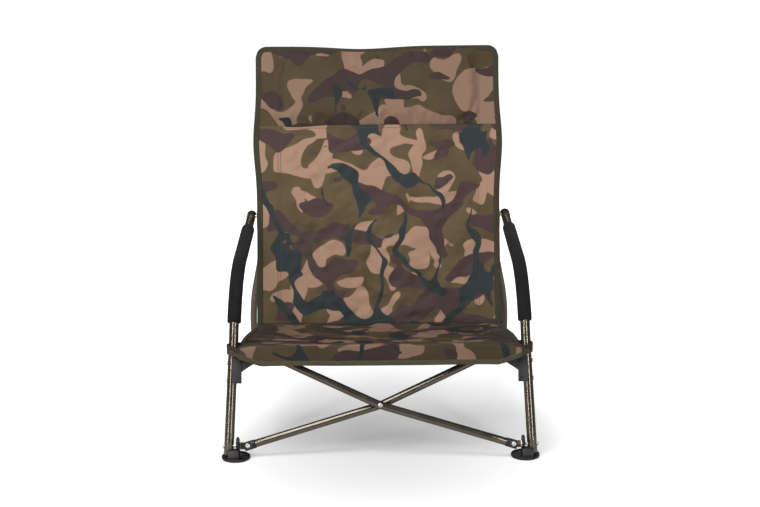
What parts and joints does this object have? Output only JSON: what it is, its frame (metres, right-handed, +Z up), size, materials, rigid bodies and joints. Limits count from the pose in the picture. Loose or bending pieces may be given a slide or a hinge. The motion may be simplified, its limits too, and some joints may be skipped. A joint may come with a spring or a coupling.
{
  "type": "folding fishing chair",
  "caption": "Low folding fishing chair with a reclined hung cloth back and seat, foam-gripped arms, scissor cross tubes and disc feet.",
  "frame": {"origin": "on the floor, under the middle of the box that holds the opened chair", "axes": "+X to the right as seen from in front of the chair, -Y the way the sitter faces, +Z up"},
  "size_m": [0.655, 0.762, 0.7798],
  "materials": {
    "painted_tube": "satin olive-brown paint",
    "black_plastic": "moulded, matt",
    "grip_foam": "closed-cell foam, matt",
    "bright_steel": "bright zinc",
    "camouflage_cloth": "woven polyester, woodland camouflage"
  },
  "bodies": {
    "post_left": {"back_post_left": "painted_tube", "post_cap_left": "black_plastic", "post_bracket_left": "black_plastic", "arm_pivot_pin_left": "bright_steel", "rear_leg_pin_left": "bright_steel", "post_low_bracket_left": "black_plastic", "rear_cross_pin_left": "bright_steel", "rear_rest_left": "black_plastic", "back_sling": "camouflage_cloth", "headrest_pad": "camouflage_cloth"},
    "rear_cross_a": {"rear_cross_tube_a": "painted_tube", "rear_cross_sleeve_a": "black_plastic", "rear_cross_tip_a": "black_plastic", "rear_cross_bolt": "bright_steel"},
    "rear_cross_b": {"rear_cross_tube_b": "painted_tube", "rear_cross_sleeve_b": "black_plastic", "rear_cross_tip_b": "black_plastic"},
    "post_right": {"back_post_right": "painted_tube", "post_cap_right": "black_plastic", "post_bracket_right": "black_plastic", "arm_pivot_pin_right": "bright_steel", "rear_leg_pin_right": "bright_steel", "post_low_bracket_right": "black_plastic", "rear_cross_pin_right": "bright_steel", "rear_rest_right": "black_plastic"},
    "arm_left": {"front_leg_arm_left": "painted_tube", "armrest_foam_left": "grip_foam", "arm_end_cap_left": "black_plastic", "front_foot_left": "black_plastic", "foot_pivot_rivet_left": "bright_steel", "seat_bracket_left": "black_plastic", "seat_rivet_lower_left": "bright_steel", "seat_rivet_upper_left": "bright_steel"},
    "arm_right": {"front_leg_arm_right": "painted_tube", "armrest_foam_right": "grip_foam", "arm_end_cap_right": "black_plastic", "front_foot_right": "black_plastic", "foot_pivot_rivet_right": "bright_steel", "seat_bracket_right": "black_plastic", "seat_rivet_lower_right": "bright_steel", "seat_rivet_upper_right": "bright_steel"},
    "rear_support_left": {"rear_leg_left": "painted_tube", "rear_foot_left": "black_plastic"},
    "rear_support_right": {"rear_leg_right": "painted_tube", "rear_foot_right": "black_plastic"},
    "clevis_left": {"foot_clevis_left": "painted_tube", "clevis_rivet_left": "bright_steel"},
    "clevis_right": {"foot_clevis_right": "painted_tube", "clevis_rivet_right": "bright_steel"},
    "front_cross_a": {"front_cross_tube_a": "painted_tube", "front_cross_sleeve_a": "black_plastic", "front_cross_tip_a": "black_plastic", "front_cross_bolt": "bright_steel"},
    "front_cross_b": {"front_cross_tube_b": "painted_tube", "front_cross_sleeve_b": "black_plastic", "front_cross_tip_b": "black_plastic"},
    "seat": {"seat_sling": "camouflage_cloth"}
  },
  "joints": [
    {"name": "fold", "type": "hinge", "parent": "post_left", "child": "rear_cross_a", "pos_m": [-0.2733, 0.1216, 0.14369], "axis": [0, -0.9489, 0.3156], "range_deg": [0, 60], "deforming": ["back_sling", "headrest_pad", "seat_sling"]},
    {"name": "rear_cross_turn", "type": "hinge", "parent": "rear_cross_a", "child": "rear_cross_b", "pos_m": [0, 0.14716, 0.22053], "axis": [0, -0.9489, 0.3156], "range_deg": [-120, 0]},
    {"name": "rear_cross_right", "type": "hinge", "parent": "rear_cross_b", "child": "post_right", "pos_m": [0.2733, 0.1216, 0.14369], "axis": [0, -0.9489, 0.3156], "range_deg": [0, 60]},
    {"name": "arm_fold_left", "type": "hinge", "parent": "post_left", "child": "arm_left", "pos_m": [0, 0.17678, 0.40143], "axis": [1, 0, 0], "range_deg": [0, 30]},
    {"name": "rear_leg_fold_left", "type": "hinge", "parent": "post_left", "child": "rear_support_left", "pos_m": [0, 0.18692, 0.34957], "axis": [1, 0, 0], "range_deg": [-36, 0]},
    {"name": "clevis_tilt_left", "type": "hinge", "parent": "arm_left", "child": "clevis_left", "pos_m": [0, -0.3485, 0.026], "axis": [1, 0, 0], "range_deg": [-30, 0]},
    {"name": "arm_fold_right", "type": "hinge", "parent": "post_right", "child": "arm_right", "pos_m": [0, 0.17678, 0.40143], "axis": [1, 0, 0], "range_deg": [0, 30]},
    {"name": "rear_leg_fold_right", "type": "hinge", "parent": "post_right", "child": "rear_support_right", "pos_m": [0, 0.18692, 0.34957], "axis": [1, 0, 0], "range_deg": [-36, 0]},
    {"name": "clevis_tilt_right", "type": "hinge", "parent": "arm_right", "child": "clevis_right", "pos_m": [0, -0.3485, 0.026], "axis": [1, 0, 0], "range_deg": [-30, 0]},
    {"name": "front_cross_a_turn", "type": "hinge", "parent": "clevis_left", "child": "front_cross_a", "pos_m": [-0.2733, -0.3485, 0.026], "axis": [0, -0.9489, 0.3156], "range_deg": [0, 60]},
    {"name": "front_cross_b_turn", "type": "hinge", "parent": "clevis_right", "child": "front_cross_b", "pos_m": [0.2733, -0.3485, 0.026], "axis": [0, -0.9489, 0.3156], "range_deg": [-60, 0]},
    {"name": "seat_fold", "type": "hinge", "parent": "post_left", "child": "seat", "pos_m": [0, 0.08769, 0.16688], "axis": [1, 0, 0], "range_deg": [0, 42]}
  ],
  "couplings": [
    {"joint": "rear_cross_turn", "follows": "fold", "ratio": -2},
    {"joint": "rear_cross_right", "follows": "fold", "ratio": 1},
    {"joint": "arm_fold_left", "follows": "fold", "ratio": 0.5},
    {"joint": "arm_fold_right", "follows": "fold", "ratio": 0.5},
    {"joint": "rear_leg_fold_left", "follows": "fold", "ratio": -0.6},
    {"joint": "rear_leg_fold_right", "follows": "fold", "ratio": -0.6},
    {"joint": "clevis_tilt_left", "follows": "fold", "ratio": -0.5},
    {"joint": "clevis_tilt_right", "follows": "fold", "ratio": -0.5},
    {"joint": "front_cross_a_turn", "follows": "fold", "ratio": 1},
    {"joint": "front_cross_b_turn", "follows": "fold", "ratio": -1},
    {"joint": "seat_fold", "follows": "fold", "ratio": 0.7}
  ]
}
